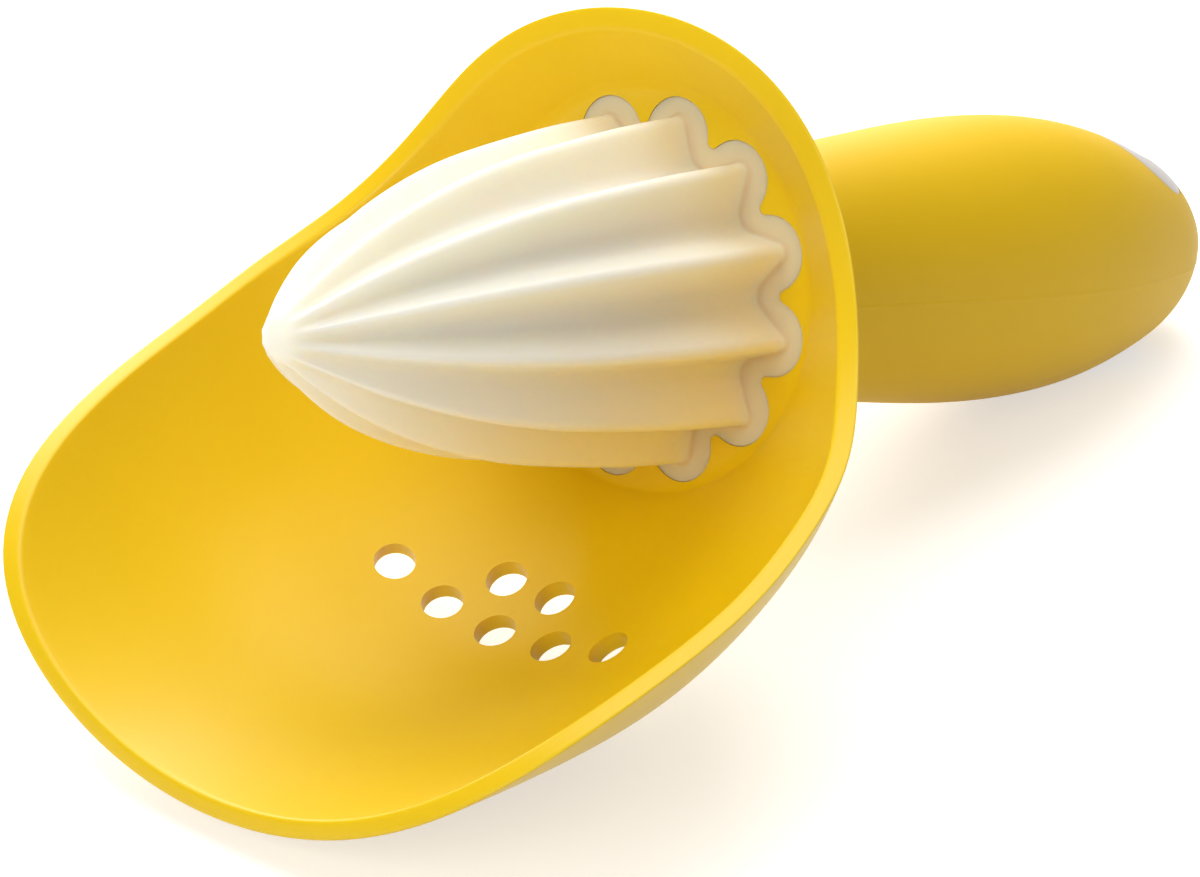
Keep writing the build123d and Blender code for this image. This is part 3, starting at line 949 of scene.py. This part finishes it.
class REAMER_OT_insides(bpy.types.Operator):
    """Give the pieces inside the tool their materials"""
    bl_idname = "reamer.insides"
    bl_label = "Inner pieces"

    def execute(self, context):
        studio = group("studio")
        finishes = {
            "handle_core": ("core_moulding", studio.ivory, CORE_LOOK),
            "juice_seal": ("seal_rubber", studio.seal_grey, SEAL_LOOK),
            "clamp_washer": ("washer_steel", studio.washer_steel, WASHER_LOOK),
            "clamp_screw": ("screw_steel", studio.screw_steel, SCREW_LOOK),
        }
        for node, (name, base, look) in finishes.items():
            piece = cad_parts[node]
            piece.data.materials.clear()
            piece.data.materials.append(material_of(name, own_coordinates, base, look))
        return {"FINISHED"}


# Stage


def soft_lamp(name, place, target, width, height, power):
    """White rectangular lamp that faces a target."""
    deselect()
    bpy.ops.object.light_add(type="AREA", location=place)
    lamp = bpy.context.object
    lamp.name = name
    lamp.data.shape = "RECTANGLE"
    lamp.data.size, lamp.data.size_y = width, height
    lamp.data.energy = power
    lamp.rotation_euler = (Vector(target) - Vector(place)).to_track_quat("-Z", "Y").to_euler()


def lifted_shadows(nodes, place, body):
    """Lets the table glow a little for the camera and for mirrored rays, and keeps its colour."""
    studio = group("studio")
    rays = nodes.add("ShaderNodeLightPath").outputs
    seen = nodes.add("ShaderNodeMath", {"operation": "MAXIMUM"})
    nodes.join(rays["Is Camera Ray"], seen.inputs[0])
    nodes.join(rays["Is Glossy Ray"], seen.inputs[1])
    glow = nodes.add("ShaderNodeMath", {"operation": "MULTIPLY"})
    nodes.join(seen.outputs["Value"], glow.inputs[0])
    nodes.join(studio.table_glow, glow.inputs[1])
    # The glow's warm tint paints warm light into the table's shadows
    nodes.join((*studio.shadow_glow_tint, 1.0), nodes.surface.inputs["Emission Color"])
    nodes.join(glow.outputs["Value"], nodes.surface.inputs["Emission Strength"])
    return body


class REAMER_OT_stage(bpy.types.Operator):
    """Set the table, the lamps, the surroundings and the camera"""
    bl_idname = "reamer.stage"
    bl_label = "Stage"

    def execute(self, context):
        studio = group("studio")
        deselect()
        bpy.ops.mesh.primitive_plane_add(size=studio.table_size)
        table = bpy.context.object
        table.name = "pale_table"
        table.data.materials.append(material_of("pale_table", own_coordinates, studio.table_pale,
                                                TABLE_LOOK, lifted_shadows))
        for lamp in LAMPS:
            soft_lamp(*lamp)
        world = bpy.data.worlds.new("white_room")
        context.scene.world = world
        world.use_nodes = True
        room = world.node_tree
        surroundings = room.nodes["Background"]
        surroundings.inputs["Color"].default_value = (1.0, 1.0, 1.0, 1.0)
        rays = room.nodes.new("ShaderNodeLightPath").outputs
        brightness = room.nodes.new("ShaderNodeMapRange")
        room.links.new(rays["Is Camera Ray"], brightness.inputs["Value"])
        brightness.inputs["To Min"].default_value = studio.room_light
        brightness.inputs["To Max"].default_value = 1.0
        room.links.new(brightness.outputs["Result"], surroundings.inputs["Strength"])
        bpy.ops.object.camera_add(location=studio.camera_place, rotation=studio.camera_turn)
        camera = bpy.context.object
        camera.name = "photo_camera"
        camera.data.lens = camera.data.sensor_width * PHOTO_FOCAL / PHOTO_WIDTH
        camera.data.clip_start = studio.camera_near
        context.scene.camera = camera
        context.scene.view_settings.view_transform = "Standard"
        deselect()
        return {"FINISHED"}


class REAMER_PT_panel(bpy.types.Panel):
    """Lists the reamer's sizes and makers"""
    bl_idname = "REAMER_PT_panel"
    bl_label = "Citrus reamer"
    bl_space_type = "VIEW_3D"
    bl_region_type = "UI"
    bl_category = "Reamer"

    def draw(self, context):
        for name in GROUPS:
            box = self.layout.box()
            box.label(text=name.capitalize())
            for key in group(name).bl_rna.properties.keys():
                if key not in ("rna_type", "name"):
                    box.prop(group(name), key)
        for operator in OPERATORS:
            self.layout.operator(operator.bl_idname)


GROUPS = {"rest": RestSizes, "cone": ConeSizes, "scoop": ScoopSizes, "grip": GripSizes,
          "studio": StudioSettings}
OPERATORS = (REAMER_OT_stage, REAMER_OT_insides, REAMER_OT_cone, REAMER_OT_scoop, REAMER_OT_grip)


def register():
    """Adds the sizes, the operators and the panel to Blender."""
    for name, kind in GROUPS.items():
        bpy.utils.register_class(kind)
        setattr(bpy.types.Scene, "reamer_" + name, PointerProperty(type=kind))
    for kind in (*OPERATORS, REAMER_PT_panel):
        bpy.utils.register_class(kind)


def unregister():
    """Takes them out again."""
    for kind in (REAMER_PT_panel, *reversed(OPERATORS)):
        bpy.utils.unregister_class(kind)
    for name, kind in GROUPS.items():
        delattr(bpy.types.Scene, "reamer_" + name)
        bpy.utils.unregister_class(kind)


def main():
    """Builds the stage and every piece."""
    register()
    bpy.ops.reamer.stage()
    bpy.ops.reamer.insides()
    bpy.ops.reamer.cone()
    bpy.ops.reamer.scoop()
    bpy.ops.reamer.grip()


if __name__ == "__main__":
    main()
